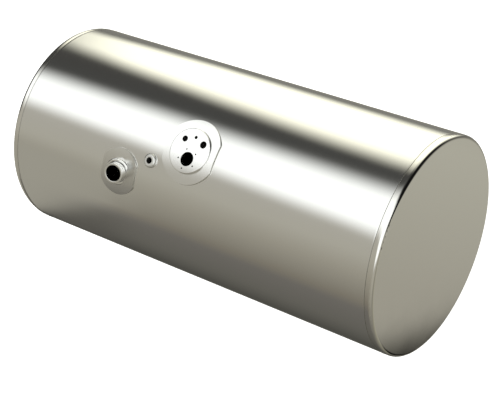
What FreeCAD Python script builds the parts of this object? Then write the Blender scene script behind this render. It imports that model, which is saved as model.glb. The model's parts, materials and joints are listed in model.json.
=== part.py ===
"""Cylindrical aluminium fuel tank for a truck, in millimetres.

The origin is on the tank's axis at mid-length. +X runs along the axis, +Z points up through the
sender flange, and -Y is the outboard side, towards which the filler neck is turned.
"""
import FreeCAD, Part
import os
import Sketcher

DOC = FreeCAD.newDocument("fuel_tank")
SHEET = DOC.addObject("Spreadsheet::Sheet", "Sizes")

# Every size that can be set by itself: its name, its value in mm or degrees, and what it measures.
SIZES = [
    ("tank_length", 1193.8, "over both end faces"),
    ("shell_diameter", 584.2, "outside of the rolled wall"),
    ("shell_wall", 3.2, "thickness of the rolled wall"),
    ("fit_gap", 0.2, "clearance between pieces that are welded together"),
    ("seam_gap", 1.0, "weld groove between the wall's edge and a head's shoulder"),
    ("head_wall", 3.2, "thickness of an end's sheet"),
    ("head_band", 20.5, "from the end face to the seam"),
    ("head_knuckle", 9.5, "outside bend radius between face and band"),
    ("head_insert", 14.0, "lip that slides into the wall"),
    ("joggle_run", 6.0, "length over which the band steps down to the lip"),
    ("baffle_place", 300.0, "from mid-length to a baffle's web"),
    ("baffle_wall", 2.5, "thickness of a baffle's web and of its rim band"),
    ("baffle_band", 28.0, "width of the rim band"),
    ("baffle_centre_hole", 110.0, "diameter of the middle flow hole"),
    ("baffle_hole", 100.0, "diameter of a flow hole in the ring"),
    ("baffle_hole_inset", 124.0, "from such a hole's centre to the wall's inside"),
    ("baffle_hole_count", 4, "flow holes in the ring"),
    ("baffle_notch_width", 100.0, "vent and drain notches in the web's edge"),
    ("baffle_notch_depth", 33.0, "depth of a notch from the web's edge"),
    ("saddle_wall", 4.5, "thickness of both doubler plates"),
    ("sender_place", 5.0, "sender flange's centre along the tank"),
    ("sender_saddle_border", 25.9, "sender's doubler beyond the flange, to its round ends"),
    ("sender_saddle_flat", 8.9, "by which each of its flats cuts into the circle"),
    ("flange_diameter", 121.0, "sender flange"),
    ("flange_rise", 8.0, "flange's face above the wall's crown"),
    ("flange_thickness", 16.0, "sender flange"),
    ("flange_edge", 2.0, "rounding of the face's rim"),
    ("sender_bore", 38.1, "hole for the level sender"),
    ("sender_bore_x", 1.9, "its centre from the flange's centre"),
    ("sender_bore_y", -22.5, "its centre from the flange's centre"),
    ("screw_circle", 54.0, "pitch circle of the sender's screws"),
    ("screw_bore", 4.2, "tapped hole for a sender screw"),
    ("screw_count", 5, "sender screws"),
    ("screw_turn", 43.4, "angle of the first screw from +X"),
    ("supply_port", 19.3, "bore of the supply port"),
    ("supply_x", 32.5, "its centre from the flange's centre"),
    ("supply_y", 25.0, "its centre from the flange's centre"),
    ("return_port", 16.4, "bore of the return port"),
    ("return_x", -27.0, "its centre from the flange's centre"),
    ("return_y", 25.8, "its centre from the flange's centre"),
    ("gauge_port", 9.1, "bore of the small port"),
    ("gauge_x", 3.4, "its centre from the flange's centre"),
    ("gauge_y", 37.4, "its centre from the flange's centre"),
    ("pipe_step", 0.2, "by which a pipe's bore is wider than its port, all round"),
    ("pipe_wall", 1.25, "thickness of both pipes"),
    ("pipe_seat", 5.0, "depth of a pipe's socket in the flange"),
    ("supply_foot", 30.0, "pickup pipe's end above the tank's floor"),
    ("return_foot", 90.0, "return pipe's end above the tank's floor"),
    ("foot_cut", 12.0, "height of the slant at the pickup pipe's foot"),
    ("brace_drop", 380.0, "brace below the flange's underside"),
    ("brace_wall", 3.0, "thickness of the brace"),
    ("brace_margin", 8.0, "brace round a pipe"),
    ("filler_place", -202.0, "filler's centre along the tank"),
    ("filler_angle", 22.0, "filler's place, from the top towards -Y"),
    ("filler_saddle_border", 36.4, "filler's doubler beyond the neck, to its round ends"),
    ("filler_saddle_flat", 8.0, "by which each of its flats cuts into the circle"),
    ("filler_saddle_turn", -3.0, "its turn about its own middle"),
    ("neck_tilt", 3.6, "neck's further tilt towards -Y"),
    ("neck_lean", 12.0, "neck's lean towards +X"),
    ("neck_outside", 54.2, "outside of the filler neck"),
    ("neck_bore", 43.0, "bore of the filler neck"),
    ("neck_rise", 30.5, "lip above the wall's outside, along the neck"),
    ("neck_dip", 24.0, "neck below the wall's outside, along the neck"),
    ("neck_edge", 1.2, "rounding of the lip"),
    ("collar_width", 9.1, "weld collar at the neck's foot, beyond the neck"),
    ("collar_rise", 10.0, "collar's top above the wall's outside"),
    ("collar_round", 4.0, "rounding of the collar's top"),
    ("collar_fillet", 2.0, "slope by which the collar's top runs up to the neck"),
    ("spud_place", -105.8, "vent spud along the tank"),
    ("spud_angle", 11.15, "its place, from the top towards -Y"),
    ("spud_diameter", 38.0, "weld-in body of a spud"),
    ("spud_rise", 8.0, "spud above the wall's outside"),
    ("spud_depth", 7.0, "spud below the wall's outside"),
    ("spud_bore", 17.4, "threaded bore of the vent spud"),
    ("spud_edge", 6.0, "rounding of a spud's rim"),
    ("drain_place", 150.0, "drain spud along the tank"),
    ("drain_bore", 18.4, "bore of the drain spud"),
    ("plug_gap", 0.1, "plug's shank in the drain bore"),
    ("plug_hex", 22.0, "across the flats of the plug's head"),
    ("plug_head", 9.0, "height of the plug's head"),
    ("plug_shank", 11.0, "length of the plug's shank"),
]

# Lengths and places that more than one piece is worked out from.
SHELL_RADIUS = "Sizes.shell_diameter / 2"
INNER_RADIUS = "(Sizes.shell_diameter / 2 - Sizes.shell_wall)"
FLANGE_FACE = "(Sizes.shell_diameter / 2 + Sizes.flange_rise)"
FLANGE_UNDERSIDE = "(Sizes.shell_diameter / 2 + Sizes.flange_rise - Sizes.flange_thickness)"
SUPPLY_OUTSIDE = "(Sizes.supply_port / 2 + Sizes.pipe_step + Sizes.pipe_wall)"
RETURN_OUTSIDE = "(Sizes.return_port / 2 + Sizes.pipe_step + Sizes.pipe_wall)"
SENDER_SADDLE = "(Sizes.flange_diameter + 2 * Sizes.sender_saddle_border)"
FILLER_SADDLE = "(Sizes.neck_outside + 2 * Sizes.filler_saddle_border)"
COLLAR_RADIUS = "(Sizes.neck_outside / 2 + Sizes.collar_width)"
TURN = "rotation(vector(%d; %d; %d); %s)"


def fill_sheet():
    """Write every size into the sheet as plain text, with its name as the cell's alias."""
    for row, (alias, value, note) in enumerate(SIZES, start=1):
        SHEET.set("A%d" % row, alias)
        SHEET.set("B%d" % row, str(value))
        SHEET.set("C%d" % row, note)
        SHEET.setAlias("B%d" % row, alias)
    DOC.recompute()


def around_tank(place, angle, turns=""):
    """Placement on the wall's outside, at a length and an angle, with its Z pointing outwards."""
    height = SHELL_RADIUS
    base = "vector(%s; -%s * sin(%s * 1deg); %s * cos(%s * 1deg))" % (place, height, angle, height, angle)
    return "placement(%s; %s%s)" % (base, TURN % (1, 0, 0, angle), turns)


def neck_placement():
    """Placement on the neck's own axis, where that axis meets the wall's outside."""
    base = around_tank("Sizes.filler_place", "Sizes.filler_angle")
    base = base[: -len(TURN % (1, 0, 0, "Sizes.filler_angle")) - 1]
    tilt = TURN % (1, 0, 0, "Sizes.filler_angle + Sizes.neck_tilt")
    lean = TURN % (0, 1, 0, "Sizes.neck_lean")
    return "%s%s * %s)" % (base, tilt, lean)


def new_body(label):
    """Start a sub-part; its label is also its file's name."""
    body = DOC.addObject("PartDesign::Body", label)
    body.Label = label
    return body


def new_sketch(body, name, role, offset=None):
    """Sketch on one of the body's own origin planes, moved off it by an expression if given."""
    sketch = body.newObject("Sketcher::SketchObject", name)
    plane = [feature for feature in body.Origin.OriginFeatures if feature.Role == role][0]
    sketch.AttachmentSupport = [(plane, "")]
    sketch.MapMode = "FlatFace"
    if offset:
        sketch.setExpression("AttachmentOffset", offset)
    return sketch


def locate(sketch, geometry, point, x, y):
    """Tie a point of the sketch to its two distances from the sketch's origin."""
    for kind, axis, value in (("DistanceX", -2, x), ("DistanceY", -1, y)):
        if value == "0":
            sketch.addConstraint(Sketcher.Constraint("PointOnObject", geometry, point, axis))
        else:
            index = sketch.addConstraint(Sketcher.Constraint(kind, -1, 1, geometry, point, 1.0))
            sketch.setExpression("Constraints[%d]" % index, value)


def add_circle(sketch, radius, x="0", y="0"):
    """Circle with its radius and centre tied to expressions."""
    circle = Part.Circle(FreeCAD.Vector(1, 1, 0), FreeCAD.Vector(0, 0, 1), 1)
    geometry = sketch.addGeometry(circle)
    locate(sketch, geometry, 3, x, y)
    index = sketch.addConstraint(Sketcher.Constraint("Radius", geometry, 1.0))
    sketch.setExpression("Constraints[%d]" % index, radius)


def add_polygon(sketch, corners):
    """Closed outline of straight lines, each corner tied to its two expressions."""
    count = len(corners)
    rough = Part.makeCircle(1.0).discretize(count + 1)
    lines = [sketch.addGeometry(Part.LineSegment(rough[i], rough[i + 1])) for i in range(count)]
    for i in range(count):
        following = lines[(i + 1) % count]
        sketch.addConstraint(Sketcher.Constraint("Coincident", lines[i], 2, following, 1))
        locate(sketch, lines[i], 1, *corners[i])


def pad(body, name, sketch, length, symmetric=False):
    """Extrude a sketch along its normal, or both ways about its plane."""
    feature = body.newObject("PartDesign::Pad", name)
    feature.Profile = sketch
    feature.SideType = "Symmetric" if symmetric else "One side"
    feature.setExpression("Length", length)
    return feature


def pocket(body, name, sketch, length, way="down"):
    """Cut along a sketch's normal: down is against it, up is with it, both is about its plane."""
    DOC.recompute()
    before = body.Shape.Volume
    feature = body.newObject("PartDesign::Pocket", name)
    feature.Profile = sketch
    feature.SideType = "Symmetric" if way == "both" else "One side"
    feature.Reversed = way == "up"
    feature.setExpression("Length", length)
    DOC.recompute()
    if not body.Shape.Volume < before:
        raise RuntimeError("%s cuts nothing" % name)
    return feature


def revolve(body, name, sketch, axis):
    """Turn a profile fully about one of its sketch's axes."""
    feature = body.newObject("PartDesign::Revolution", name)
    feature.Profile = sketch
    feature.ReferenceAxis = (sketch, [axis])
    feature.Angle = 360
    return feature


def pattern_round(body, name, original, sketch, count):
    """Repeat a feature about its sketch's normal."""
    feature = body.newObject("PartDesign::PolarPattern", name)
    feature.Originals = [original]
    feature.Axis = (sketch, ["N_Axis"])
    feature.Angle = 360
    feature.setExpression("Occurrences", count)
    body.Tip = feature
    return feature


def round_edges(body, name, feature, radius, chosen):
    """Round the edges that the test picks out."""
    DOC.recompute()
    edges = feature.Shape.Edges
    names = ["Edge%d" % (i + 1) for i, edge in enumerate(edges) if chosen(edge)]
    if not names:
        raise RuntimeError("%s finds no edge" % name)
    fillet = body.newObject("PartDesign::Fillet", name)
    fillet.Base = (feature, names)
    fillet.setExpression("Radius", radius)
    return fillet


def is_circle(edge, radius):
    """True for a full circle of this radius."""
    if not isinstance(edge.Curve, Part.Circle):
        return False
    return abs(edge.Curve.Radius - radius) < 1e-4


def size(alias):
    """Value of one size in the sheet."""
    return float(SHEET.get(alias))


def make_shell():
    """Rolled wall between the two heads, with a hole for each fitting."""
    body = new_body("barrel_shell")
    ring = new_sketch(body, "wall_section", "YZ_Plane")
    add_circle(ring, SHELL_RADIUS)
    add_circle(ring, INNER_RADIUS)
    length = "Sizes.tank_length - 2 * (Sizes.head_band + Sizes.seam_gap)"
    pad(body, "rolled_wall", ring, length, symmetric=True)

    flange_seat = new_sketch(body, "flange_seat", "XY_Plane")
    add_circle(flange_seat, "Sizes.flange_diameter / 2 + Sizes.fit_gap", "Sizes.sender_place")
    pocket(body, "flange_hole", flange_seat, "Sizes.shell_diameter", way="up")

    spud_place = around_tank("Sizes.spud_place", "Sizes.spud_angle")
    spud_seat = new_sketch(body, "spud_seat", "XY_Plane", spud_place)
    add_circle(spud_seat, "Sizes.spud_diameter / 2 + Sizes.fit_gap")
    pocket(body, "spud_hole", spud_seat, "Sizes.spud_diameter", way="both")

    neck_seat = new_sketch(body, "neck_seat", "XY_Plane", neck_placement())
    add_circle(neck_seat, "Sizes.neck_outside / 2 + Sizes.fit_gap")
    pocket(body, "neck_hole", neck_seat, "Sizes.neck_outside * 2", way="both")

    drain_seat = new_sketch(body, "drain_seat", "XY_Plane")
    add_circle(drain_seat, "Sizes.spud_diameter / 2 + Sizes.fit_gap", "Sizes.drain_place")
    pocket(body, "drain_hole", drain_seat, "Sizes.shell_diameter")
    return body


def make_head(label, turn):
    """Flat end with a knuckle, a band flush with the wall, and a lip that slides inside it."""
    body = new_body(label)
    profile = new_sketch(body, label + "_profile", "XY_Plane")
    face = "Sizes.tank_length / 2"
    back = "Sizes.tank_length / 2 - Sizes.head_wall"
    seam = "Sizes.tank_length / 2 - Sizes.head_band"
    lip_end = seam + " - Sizes.head_insert"
    band_inside = "Sizes.shell_diameter / 2 - Sizes.head_wall"
    lip_outside = INNER_RADIUS + " - Sizes.fit_gap"
    lip_inside = lip_outside + " - Sizes.head_wall"
    add_polygon(profile, [
        (back, "0"), (face, "0"), (face, SHELL_RADIUS), (seam, SHELL_RADIUS),
        (seam, lip_outside), (lip_end, lip_outside), (lip_end, lip_inside),
        (seam, lip_inside), (seam + " + Sizes.joggle_run", band_inside), (back, band_inside),
    ])
    spun = revolve(body, label + "_sheet", profile, "H_Axis")
    half = size("tank_length") / 2
    outer = size("shell_diameter") / 2
    inner = outer - size("head_wall")
    knuckle = round_edges(
        body, label + "_knuckle", spun, "Sizes.head_knuckle",
        lambda edge: is_circle(edge, outer) and abs(edge.Curve.Center.x - half) < 1e-4)
    round_edges(
        body, label + "_bend", knuckle, "Sizes.head_knuckle - Sizes.head_wall",
        lambda edge: is_circle(edge, inner) and edge.Curve.Center.x > half - size("head_wall") - 1e-4)
    body.Placement = FreeCAD.Placement(FreeCAD.Vector(), FreeCAD.Rotation(FreeCAD.Vector(0, 0, 1), turn))
    return body


def place_baffle(body, side, turn):
    """Move a baffle's piece to its place, with its band turned to the tank's middle."""
    spin = TURN % (0, 0, 1, str(turn))
    body.setExpression("Placement", "placement(vector(%d * Sizes.baffle_place; 0; 0); %s)" % (side, spin))


def make_baffle(label, side, turn):
    """Web of a surge baffle: a flat disc with flow holes, notched at the top and the bottom."""
    body = new_body(label)
    edge = INNER_RADIUS + " - Sizes.baffle_wall - 2 * Sizes.fit_gap"
    outline = new_sketch(body, label + "_outline", "YZ_Plane")
    add_circle(outline, edge)
    add_circle(outline, "Sizes.baffle_centre_hole / 2")
    pad(body, label + "_web", outline, "Sizes.baffle_wall")

    notches = new_sketch(body, label + "_notches", "YZ_Plane")
    half_notch = "Sizes.baffle_notch_width / 2"
    for upright in ("", "-"):
        near = "%s(%s - Sizes.baffle_notch_depth)" % (upright, edge)
        far = "%s(%s + Sizes.baffle_notch_depth)" % (upright, edge)
        add_polygon(notches, [
            ("-" + half_notch, near), (half_notch, near), (half_notch, far), ("-" + half_notch, far),
        ])
    pocket(body, label + "_notches_cut", notches, "Sizes.baffle_wall * 4", way="both")

    ring = new_sketch(body, label + "_ring", "YZ_Plane")
    add_circle(ring, "Sizes.baffle_hole / 2", INNER_RADIUS + " - Sizes.baffle_hole_inset")
    hole = pocket(body, label + "_ring_hole", ring, "Sizes.baffle_wall * 4", way="both")
    pattern_round(body, label + "_ring_holes", hole, ring, "Sizes.baffle_hole_count")
    place_baffle(body, side, turn)
    return body


def make_baffle_rim(label, side, turn):
    """Rolled band round a baffle's web, which is welded to the wall."""
    body = new_body(label)
    ring = new_sketch(body, label + "_section", "YZ_Plane")
    add_circle(ring, INNER_RADIUS + " - Sizes.fit_gap")
    add_circle(ring, INNER_RADIUS + " - Sizes.fit_gap - Sizes.baffle_wall")
    pad(body, label + "_band", ring, "Sizes.baffle_band")
    place_baffle(body, side, turn)
    return body


def make_saddle(label, diameter, flat, placement):
    """Curved doubler plate: a circle cut off by two flats, following the wall, without its hole."""
    body = new_body(label)
    outline = new_sketch(body, label + "_outline", "XY_Plane", placement)
    add_circle(outline, diameter + " / 2")
    pad(body, label + "_block", outline, "Sizes.shell_diameter / 4", symmetric=True)

    flats = new_sketch(body, label + "_flats", "XY_Plane", placement)
    for side in ("", "-"):
        near = "%s(%s / 2 - %s)" % (side, diameter, flat)
        far = "%s(%s)" % (side, diameter)
        add_polygon(flats, [
            (near, "-" + diameter), (far, "-" + diameter), (far, diameter), (near, diameter),
        ])
    pocket(body, label + "_trim", flats, "Sizes.shell_diameter", way="both")

    core = new_sketch(body, label + "_core", "YZ_Plane")
    add_circle(core, SHELL_RADIUS + " + Sizes.fit_gap")
    pocket(body, label + "_seat", core, "Sizes.tank_length", way="both")

    above = new_sketch(body, label + "_above", "YZ_Plane")
    add_circle(above, SHELL_RADIUS + " + Sizes.fit_gap + Sizes.saddle_wall")
    add_circle(above, "Sizes.shell_diameter")
    pocket(body, label + "_crown", above, "Sizes.tank_length", way="both")
    return body


def make_sender_saddle():
    """Doubler plate under the sender flange."""
    placement = around_tank("Sizes.sender_place", "0")
    body = make_saddle("sender_saddle", SENDER_SADDLE, "Sizes.sender_saddle_flat", placement)
    seat = new_sketch(body, "sender_saddle_seat_ring", "XY_Plane", placement)
    add_circle(seat, "Sizes.flange_diameter / 2 + Sizes.fit_gap")
    pocket(body, "sender_saddle_hole", seat, "Sizes.shell_diameter / 4", way="both")
    return body


def make_filler_saddle():
    """Doubler plate under the filler neck."""
    turn = " * " + TURN % (0, 0, 1, "Sizes.filler_saddle_turn")
    placement = around_tank("Sizes.filler_place", "Sizes.filler_angle", turn)
    body = make_saddle("filler_saddle", FILLER_SADDLE, "Sizes.filler_saddle_flat", placement)
    seat = new_sketch(body, "filler_saddle_seat_ring", "XY_Plane", neck_placement())
    add_circle(seat, "Sizes.neck_outside / 2 + Sizes.fit_gap")
    pocket(body, "filler_saddle_hole", seat, "Sizes.neck_outside * 2", way="both")
    return body


def make_sender_flange():
    """Round flange with the sender hole and its screws, three ports, and sockets for two pipes."""
    body = new_body("sender_flange")
    on_face = "placement(vector(Sizes.sender_place; 0; %s); rotation(vector(0; 0; 1); 0))"
    top = on_face % FLANGE_FACE
    underside = on_face % FLANGE_UNDERSIDE
    outline = new_sketch(body, "flange_outline", "XY_Plane", underside)
    add_circle(outline, "Sizes.flange_diameter / 2")
    disc = pad(body, "flange_disc", outline, "Sizes.flange_thickness")
    DOC.recompute()
    face_height = disc.Shape.BoundBox.ZMax
    round_edges(
        body, "flange_rim", disc, "Sizes.flange_edge",
        lambda edge: isinstance(edge.Curve, Part.Circle) and edge.Curve.Center.z > face_height - 1e-4)

    holes = new_sketch(body, "flange_bores", "XY_Plane", top)
    add_circle(holes, "Sizes.sender_bore / 2", "Sizes.sender_bore_x", "Sizes.sender_bore_y")
    add_circle(holes, "Sizes.supply_port / 2", "Sizes.supply_x", "Sizes.supply_y")
    add_circle(holes, "Sizes.return_port / 2", "Sizes.return_x", "Sizes.return_y")
    add_circle(holes, "Sizes.gauge_port / 2", "Sizes.gauge_x", "Sizes.gauge_y")
    pocket(body, "flange_bores_cut", holes, "Sizes.flange_thickness * 2")

    sockets = new_sketch(body, "pipe_sockets", "XY_Plane", underside)
    add_circle(sockets, SUPPLY_OUTSIDE + " + Sizes.fit_gap", "Sizes.supply_x", "Sizes.supply_y")
    add_circle(sockets, RETURN_OUTSIDE + " + Sizes.fit_gap", "Sizes.return_x", "Sizes.return_y")
    pocket(body, "pipe_sockets_cut", sockets, "Sizes.pipe_seat", way="up")

    centre = "vector(Sizes.sender_place + Sizes.sender_bore_x; Sizes.sender_bore_y; %s)" % FLANGE_FACE
    screws = new_sketch(
        body, "screw_ring", "XY_Plane",
        "placement(%s; rotation(vector(0; 0; 1); Sizes.screw_turn))" % centre)
    add_circle(screws, "Sizes.screw_bore / 2", "Sizes.screw_circle / 2")
    screw = pocket(body, "screw_hole", screws, "Sizes.flange_thickness * 2")
    pattern_round(body, "screw_holes", screw, screws, "Sizes.screw_count")
    return body


def make_pipe(label, outside, x, y, foot):
    """Straight pipe from its socket in the flange down to its foot above the tank's floor."""
    body = new_body(label)
    top = "%s + Sizes.pipe_seat - Sizes.fit_gap" % FLANGE_UNDERSIDE
    place = "placement(vector(Sizes.sender_place + %s; %s; %s); %s)" % (x, y, top, TURN % (1, 0, 0, "180"))
    ring = new_sketch(body, label + "_section", "XY_Plane", place)
    add_circle(ring, outside)
    add_circle(ring, outside + " - Sizes.pipe_wall")
    pad(body, label + "_tube", ring, "%s + %s - %s" % (top, INNER_RADIUS, foot))
    return body


def make_supply_pipe():
    """Pickup pipe, its foot cut on a slant so that it can't seal against the floor."""
    body = make_pipe("supply_tube", SUPPLY_OUTSIDE, "Sizes.supply_x", "Sizes.supply_y", "Sizes.supply_foot")
    foot = "vector(Sizes.sender_place + Sizes.supply_x; -(%s - Sizes.supply_foot); 0)" % INNER_RADIUS
    place = "placement(%s; %s)" % (foot, TURN % (0, 0, 1, "0"))
    slant = new_sketch(body, "supply_slant", "XZ_Plane", place)
    add_polygon(slant, [
        ("-" + SUPPLY_OUTSIDE, "0"), (SUPPLY_OUTSIDE, "-Sizes.foot_cut"), (SUPPLY_OUTSIDE, "Sizes.foot_cut"),
    ])
    pocket(body, "supply_slant_cut", slant, "Sizes.shell_diameter", way="both")
    return body


def make_brace():
    """Small plate that ties the two pipes together below the flange."""
    body = new_body("tube_brace")
    height = "%s - Sizes.brace_drop" % FLANGE_UNDERSIDE
    place = "placement(vector(Sizes.sender_place; 0; %s); rotation(vector(0; 0; 1); 0))" % height
    left = "Sizes.return_x - %s - Sizes.brace_margin" % RETURN_OUTSIDE
    right = "Sizes.supply_x + %s + Sizes.brace_margin" % SUPPLY_OUTSIDE
    back = "min(Sizes.supply_y; Sizes.return_y) - %s - Sizes.brace_margin" % SUPPLY_OUTSIDE
    front = "max(Sizes.supply_y; Sizes.return_y) + %s + Sizes.brace_margin" % SUPPLY_OUTSIDE
    outline = new_sketch(body, "brace_outline", "XY_Plane", place)
    add_polygon(outline, [(left, back), (right, back), (right, front), (left, front)])
    add_circle(outline, SUPPLY_OUTSIDE + " + Sizes.fit_gap", "Sizes.supply_x", "Sizes.supply_y")
    add_circle(outline, RETURN_OUTSIDE + " + Sizes.fit_gap", "Sizes.return_x", "Sizes.return_y")
    pad(body, "brace_plate", outline, "Sizes.brace_wall")
    return body


def make_neck():
    """Filler neck: a tube through the wall, open at both ends, with a rounded lip."""
    body = new_body("filler_neck")
    profile = new_sketch(body, "neck_profile", "XZ_Plane")
    inside = "Sizes.neck_bore / 2"
    outside = "Sizes.neck_outside / 2"
    add_polygon(profile, [
        (inside, "-Sizes.neck_dip"), (outside, "-Sizes.neck_dip"),
        (outside, "Sizes.neck_rise"), (inside, "Sizes.neck_rise"),
    ])
    tube = revolve(body, "neck_tube", profile, "V_Axis")
    round_edges(
        body, "neck_lip", tube, "Sizes.neck_edge",
        lambda edge: isinstance(edge.Curve, Part.Circle) and edge.Curve.Center.z > 0)
    body.setExpression("Placement", neck_placement())
    return body


def make_collar():
    """Weld collar round the neck, its underside following the doubler plate."""
    body = new_body("collar_blank")
    profile = new_sketch(body, "collar_profile", "XZ_Plane")
    inside = "Sizes.neck_outside / 2 + Sizes.fit_gap"
    add_polygon(profile, [
        (inside, "-" + COLLAR_RADIUS), (COLLAR_RADIUS, "-" + COLLAR_RADIUS),
        (COLLAR_RADIUS, "Sizes.collar_rise"), (inside + " + Sizes.collar_fillet", "Sizes.collar_rise"),
        (inside, "Sizes.collar_rise + Sizes.collar_fillet"),
    ])
    ring = revolve(body, "collar_ring", profile, "V_Axis")
    outer = size("neck_outside") / 2 + size("collar_width")
    round_edges(
        body, "collar_top", ring, "Sizes.collar_round",
        lambda edge: is_circle(edge, outer) and edge.Curve.Center.z > 0)
    body.setExpression("Placement", neck_placement())

    plate_face = DOC.addObject("Part::Cylinder", "plate_face")
    plate_face.setExpression("Radius", SHELL_RADIUS + " + Sizes.saddle_wall + 2 * Sizes.fit_gap")
    plate_face.setExpression("Height", "Sizes.tank_length")
    quarter = TURN % (0, 1, 0, "90")
    plate_face.setExpression("Placement", "placement(vector(-Sizes.tank_length / 2; 0; 0); %s)" % quarter)
    collar = DOC.addObject("Part::Cut", "filler_collar")
    collar.Label = "filler_collar"
    collar.Base = body
    collar.Tool = plate_face
    return collar


def make_spud(label, bore, placement):
    """Weld-in spud: a round body through the wall, its rim well rounded, with its bore."""
    body = new_body(label)
    profile = new_sketch(body, label + "_profile", "XZ_Plane")
    inside = bore + " / 2"
    outside = "Sizes.spud_diameter / 2"
    add_polygon(profile, [
        (inside, "-Sizes.spud_depth"), (outside, "-Sizes.spud_depth"),
        (outside, "Sizes.spud_rise"), (inside, "Sizes.spud_rise"),
    ])
    turned = revolve(body, label + "_turned", profile, "V_Axis")
    rim = size("spud_diameter") / 2
    round_edges(
        body, label + "_rim", turned, "Sizes.spud_edge",
        lambda edge: is_circle(edge, rim) and edge.Curve.Center.z > 0)
    body.setExpression("Placement", placement)
    return body


def make_plug():
    """Hex-headed plug in the drain spud, its head against the spud's face."""
    body = new_body("drain_plug")
    place = around_tank("Sizes.drain_place", "180")
    at_height = "placement(vector(0; 0; %s); rotation(vector(0; 0; 1); 0))"
    head = new_sketch(body, "plug_hexagon", "XY_Plane", at_height % "Sizes.spud_rise + Sizes.fit_gap")
    corners = []
    for step in range(6):
        angle = "%d deg" % (30 + 60 * step)
        reach = "Sizes.plug_hex / sqrt(3)"
        corners.append(("%s * cos(%s)" % (reach, angle), "%s * sin(%s)" % (reach, angle)))
    corners[1] = ("0", corners[1][1])
    corners[4] = ("0", corners[4][1])
    add_polygon(head, corners)
    pad(body, "plug_head_block", head, "Sizes.plug_head")
    shank = new_sketch(
        body, "plug_shank_circle", "XY_Plane",
        at_height % "Sizes.spud_rise + Sizes.fit_gap - Sizes.plug_shank")
    add_circle(shank, "Sizes.drain_bore / 2 - Sizes.plug_gap")
    pad(body, "plug_shank_rod", shank, "Sizes.plug_shank")
    body.setExpression("Placement", place)
    return body


def build():
    """Make every sub-part."""
    fill_sheet()
    return [
        make_shell(),
        make_head("right_head", 0),
        make_head("left_head", 180),
        make_baffle("left_baffle", -1, 0),
        make_baffle_rim("left_baffle_rim", -1, 0),
        make_baffle("right_baffle", 1, 180),
        make_baffle_rim("right_baffle_rim", 1, 180),
        make_sender_saddle(),
        make_sender_flange(),
        make_supply_pipe(),
        make_pipe("return_tube", RETURN_OUTSIDE, "Sizes.return_x", "Sizes.return_y", "Sizes.return_foot"),
        make_brace(),
        make_filler_saddle(),
        make_collar(),
        make_neck(),
        make_spud("vent_spud", "Sizes.spud_bore", around_tank("Sizes.spud_place", "Sizes.spud_angle")),
        make_spud("drain_spud", "Sizes.drain_bore", around_tank("Sizes.drain_place", "180")),
        make_plug(),
    ]


def write(parts):
    """Check that nothing failed, then write each sub-part to its own file."""
    DOC.recompute()
    for item in DOC.Objects:
        if "Invalid" in item.State or "Error" in item.State:
            raise RuntimeError("%s failed: %s" % (item.Label, item.State))
    for part in parts:
        if part.Shape.isNull() or not part.Shape.isValid():
            raise RuntimeError("%s has no valid shape" % part.Label)
    os.makedirs("parts", exist_ok=True)
    for part in parts:
        part.Shape.exportStep("parts/%s.step" % part.Label)
        print("%-16s %d solid(s), %.0f mm3" % (part.Label, len(part.Shape.Solids), part.Shape.Volume))


write(build())
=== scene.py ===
# %% [markdown]
# # A cylindrical aluminium fuel tank, lit like a catalogue picture
#
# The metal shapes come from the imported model: wall, ends, doubler plates, flange, neck and spuds.
# This script adds what a maker would see on them up close, gives every piece its finish, and builds
# the studio round them. Everything is in metres, with the tank's axis along X and its top along Z.

# %% Load the tank
import json
import math
import random

import bmesh
import bpy
from mathutils import Matrix, Vector


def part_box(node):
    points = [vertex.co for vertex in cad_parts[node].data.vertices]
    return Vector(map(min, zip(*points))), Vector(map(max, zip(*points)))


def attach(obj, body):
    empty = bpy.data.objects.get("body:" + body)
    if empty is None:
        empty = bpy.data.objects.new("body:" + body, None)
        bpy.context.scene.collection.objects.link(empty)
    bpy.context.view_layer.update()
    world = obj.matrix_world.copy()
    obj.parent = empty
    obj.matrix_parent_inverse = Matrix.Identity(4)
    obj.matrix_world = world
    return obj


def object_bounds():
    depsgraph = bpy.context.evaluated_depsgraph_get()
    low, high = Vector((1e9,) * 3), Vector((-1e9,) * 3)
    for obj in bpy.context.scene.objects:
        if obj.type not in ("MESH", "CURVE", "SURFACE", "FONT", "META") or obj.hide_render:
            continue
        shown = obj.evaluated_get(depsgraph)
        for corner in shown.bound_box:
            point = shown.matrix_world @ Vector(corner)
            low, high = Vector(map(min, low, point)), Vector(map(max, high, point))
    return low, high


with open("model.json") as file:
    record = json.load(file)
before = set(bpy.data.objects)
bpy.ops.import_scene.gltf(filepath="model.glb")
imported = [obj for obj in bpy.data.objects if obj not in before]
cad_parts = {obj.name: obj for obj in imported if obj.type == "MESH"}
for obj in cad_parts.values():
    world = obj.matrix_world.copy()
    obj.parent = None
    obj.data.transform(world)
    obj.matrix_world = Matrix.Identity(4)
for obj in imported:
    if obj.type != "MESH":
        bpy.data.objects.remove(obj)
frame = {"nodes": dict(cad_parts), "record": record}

cad_low, cad_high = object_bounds()
nodes = frame["nodes"]
mounts = {mount["name"]: mount for mount in frame["record"]["mounts"]}
print("loaded", len(nodes), "nodes and", len(mounts), "mounts")
print("the tank reaches from", tuple(cad_low), "to", tuple(cad_high))

# %% [markdown]
# ## How the tank lies in the picture
#
# In service the sender flange is at the very top. For its photograph the tank was rolled forward
# about its own axis, until the fittings faced the camera. Rolling the tank would move it out of its
# own frame, so the camera and the lights are rolled the other way instead: the picture is the same.

# %% The roll of the studio
ROLL = math.radians(51.35)
studio = Matrix.Rotation(-ROLL, 4, "X")
print("the studio is rolled by", round(math.degrees(ROLL), 2), "degrees about the tank's axis")

# %% [markdown]
# ## Camera
#
# The camera's place was found from the outline of the tank. It looks at the middle of the tank from
# the right, from in front and from above, with a long lens, so the far end hardly shrinks. Its place
# is given in radii of the wall, because an outline only tells a distance in sizes of the object.

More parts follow.
